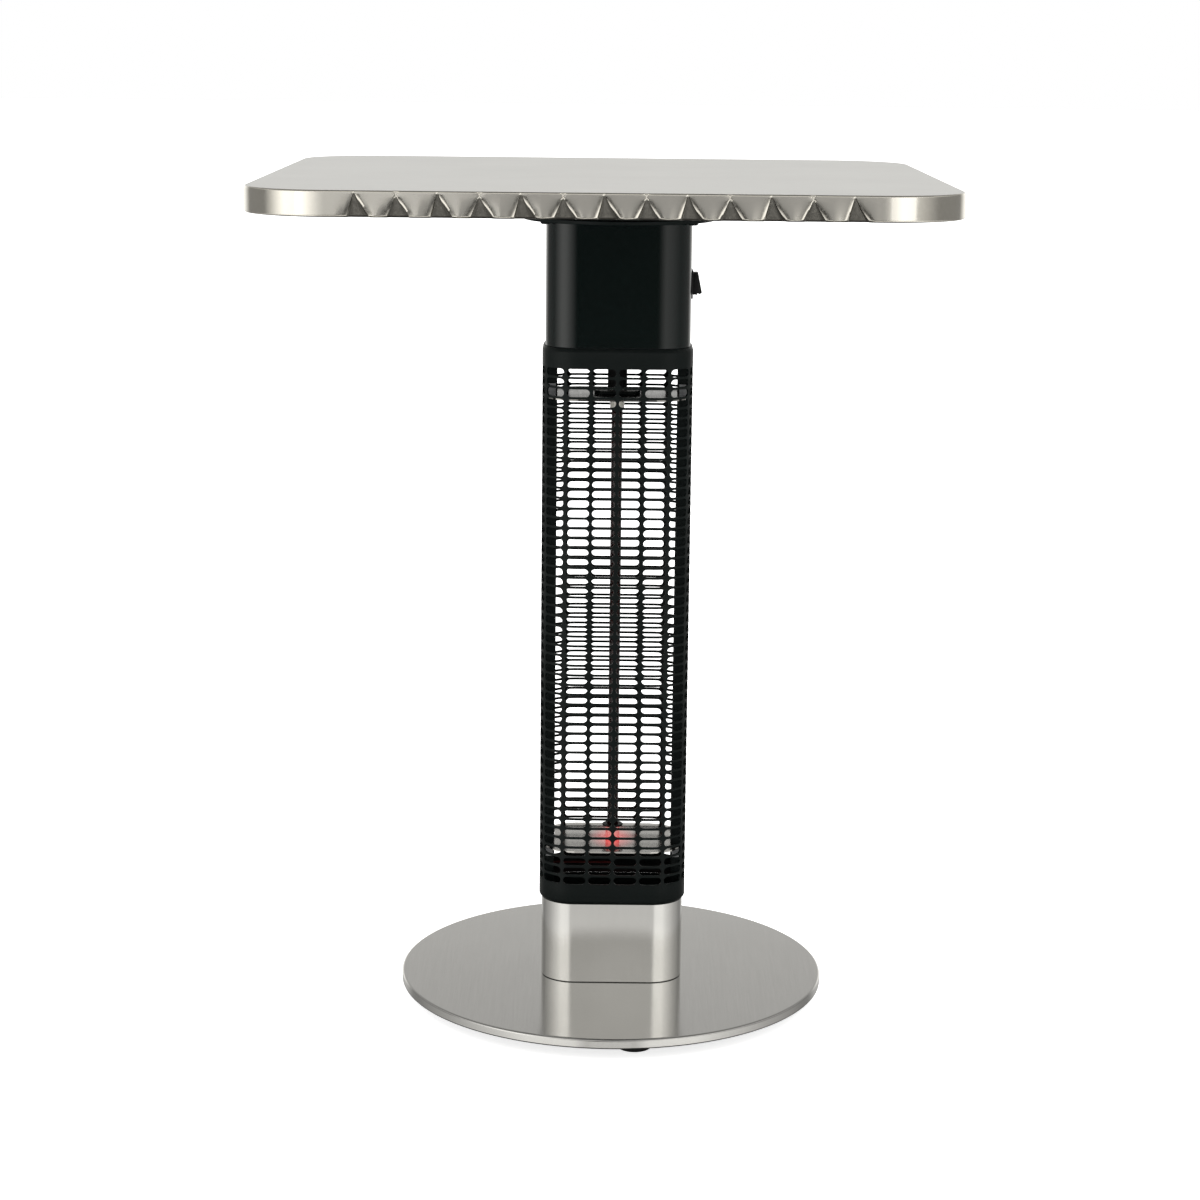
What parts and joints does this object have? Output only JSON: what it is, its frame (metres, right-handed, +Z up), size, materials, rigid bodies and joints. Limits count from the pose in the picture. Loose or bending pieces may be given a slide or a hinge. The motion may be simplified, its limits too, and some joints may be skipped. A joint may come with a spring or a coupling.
{
  "type": "table heater",
  "caption": "Square stainless bistro table with an upright radiant lamp behind a slotted rounded-rectangle guard in its column, on a round base disc.",
  "frame": {"origin": "on the floor under the middle of the table top, which is the middle of the outline seen from above; the column stands 13.2 mm to its +X side", "axes": "+Z up, the front faces -Y, the rocker switch is on the +X side of the column"},
  "size_m": [0.6, 0.6, 0.7802],
  "materials": {
    "pressed_steel": "pressed stainless sheet, bright satin",
    "brushed_steel": "brushed stainless sheet",
    "polished_steel": "mirror-polished stainless sheet",
    "zinc_steel": "zinc-plated steel",
    "plain_steel": "plain steel plate",
    "black_enamel": "black satin powder coat",
    "black_plastic": "black moulded plastic",
    "fibreboard": "raw fibreboard",
    "grey_laminate": "dark grey backing laminate",
    "dark_quartz": "dark quartz glass",
    "carbon": "carbon element",
    "white_ceramic": "glazed ceramic",
    "rubber": "black rubber",
    "silicone": "red silicone sleeve"
  },
  "bodies": {
    "table": {"base_bolt_1": "zinc_steel", "base_bolt_2": "zinc_steel", "base_bolt_3": "zinc_steel", "base_bolt_4": "zinc_steel", "base_cover": "brushed_steel", "base_weight": "plain_steel", "cable_gland": "black_plastic", "clip_lower_left": "zinc_steel", "clip_lower_right": "zinc_steel", "clip_upper_left": "zinc_steel", "clip_upper_right": "zinc_steel", "foot_plate": "zinc_steel", "gland_nut": "black_plastic", "head_bolt_1": "zinc_steel", "head_bolt_2": "zinc_steel", "head_bolt_3": "zinc_steel", "head_bolt_4": "zinc_steel", "head_flange": "plain_steel", "lamp_boot": "rubber", "lamp_cap_lower": "white_ceramic", "lamp_cap_upper": "white_ceramic", "lamp_collar": "black_enamel", "lamp_filament": "carbon", "lamp_guard": "black_enamel", "lamp_holder_lower": "black_enamel", "lamp_holder_upper": "black_enamel", "lamp_lead_lower": "silicone", "lamp_lead_upper": "silicone", "lamp_tube": "dark_quartz", "lower_reflector": "polished_steel", "mounting_plate": "black_enamel", "mounting_screw_1": "zinc_steel", "mounting_screw_2": "zinc_steel", "mounting_screw_3": "zinc_steel", "mounting_screw_4": "zinc_steel", "rubber_foot_1": "rubber", "rubber_foot_2": "rubber", "rubber_foot_3": "rubber", "rubber_foot_4": "rubber", "side_post_left": "black_enamel", "side_post_right": "black_enamel", "spacer_board": "fibreboard", "stub_column": "brushed_steel", "switch_body": "black_plastic", "switch_lead": "silicone", "table_top_core": "fibreboard", "table_top_skin": "pressed_steel", "terminal_block": "white_ceramic", "thermal_cutout": "black_plastic", "tip_switch_body": "black_plastic", "underside_sheet": "grey_laminate", "upper_bulkhead": "zinc_steel", "upper_housing": "black_enamel", "upper_reflector": "polished_steel"},
    "rocker": {"switch_rocker": "black_plastic"},
    "tip_weight": {"tip_switch_weight": "zinc_steel"}
  },
  "joints": [
    {"name": "rocker_tilt", "type": "hinge", "parent": "table", "child": "rocker", "pos_m": [0.08015, 0, 0.6805], "axis": [0, 1, 0], "range_deg": [0, 23]},
    {"name": "tip_swing", "type": "hinge", "parent": "table", "child": "tip_weight", "pos_m": [-0.0068, 0, 0.0548], "axis": [0, 1, 0], "range_deg": [-20, 20]}
  ]
}
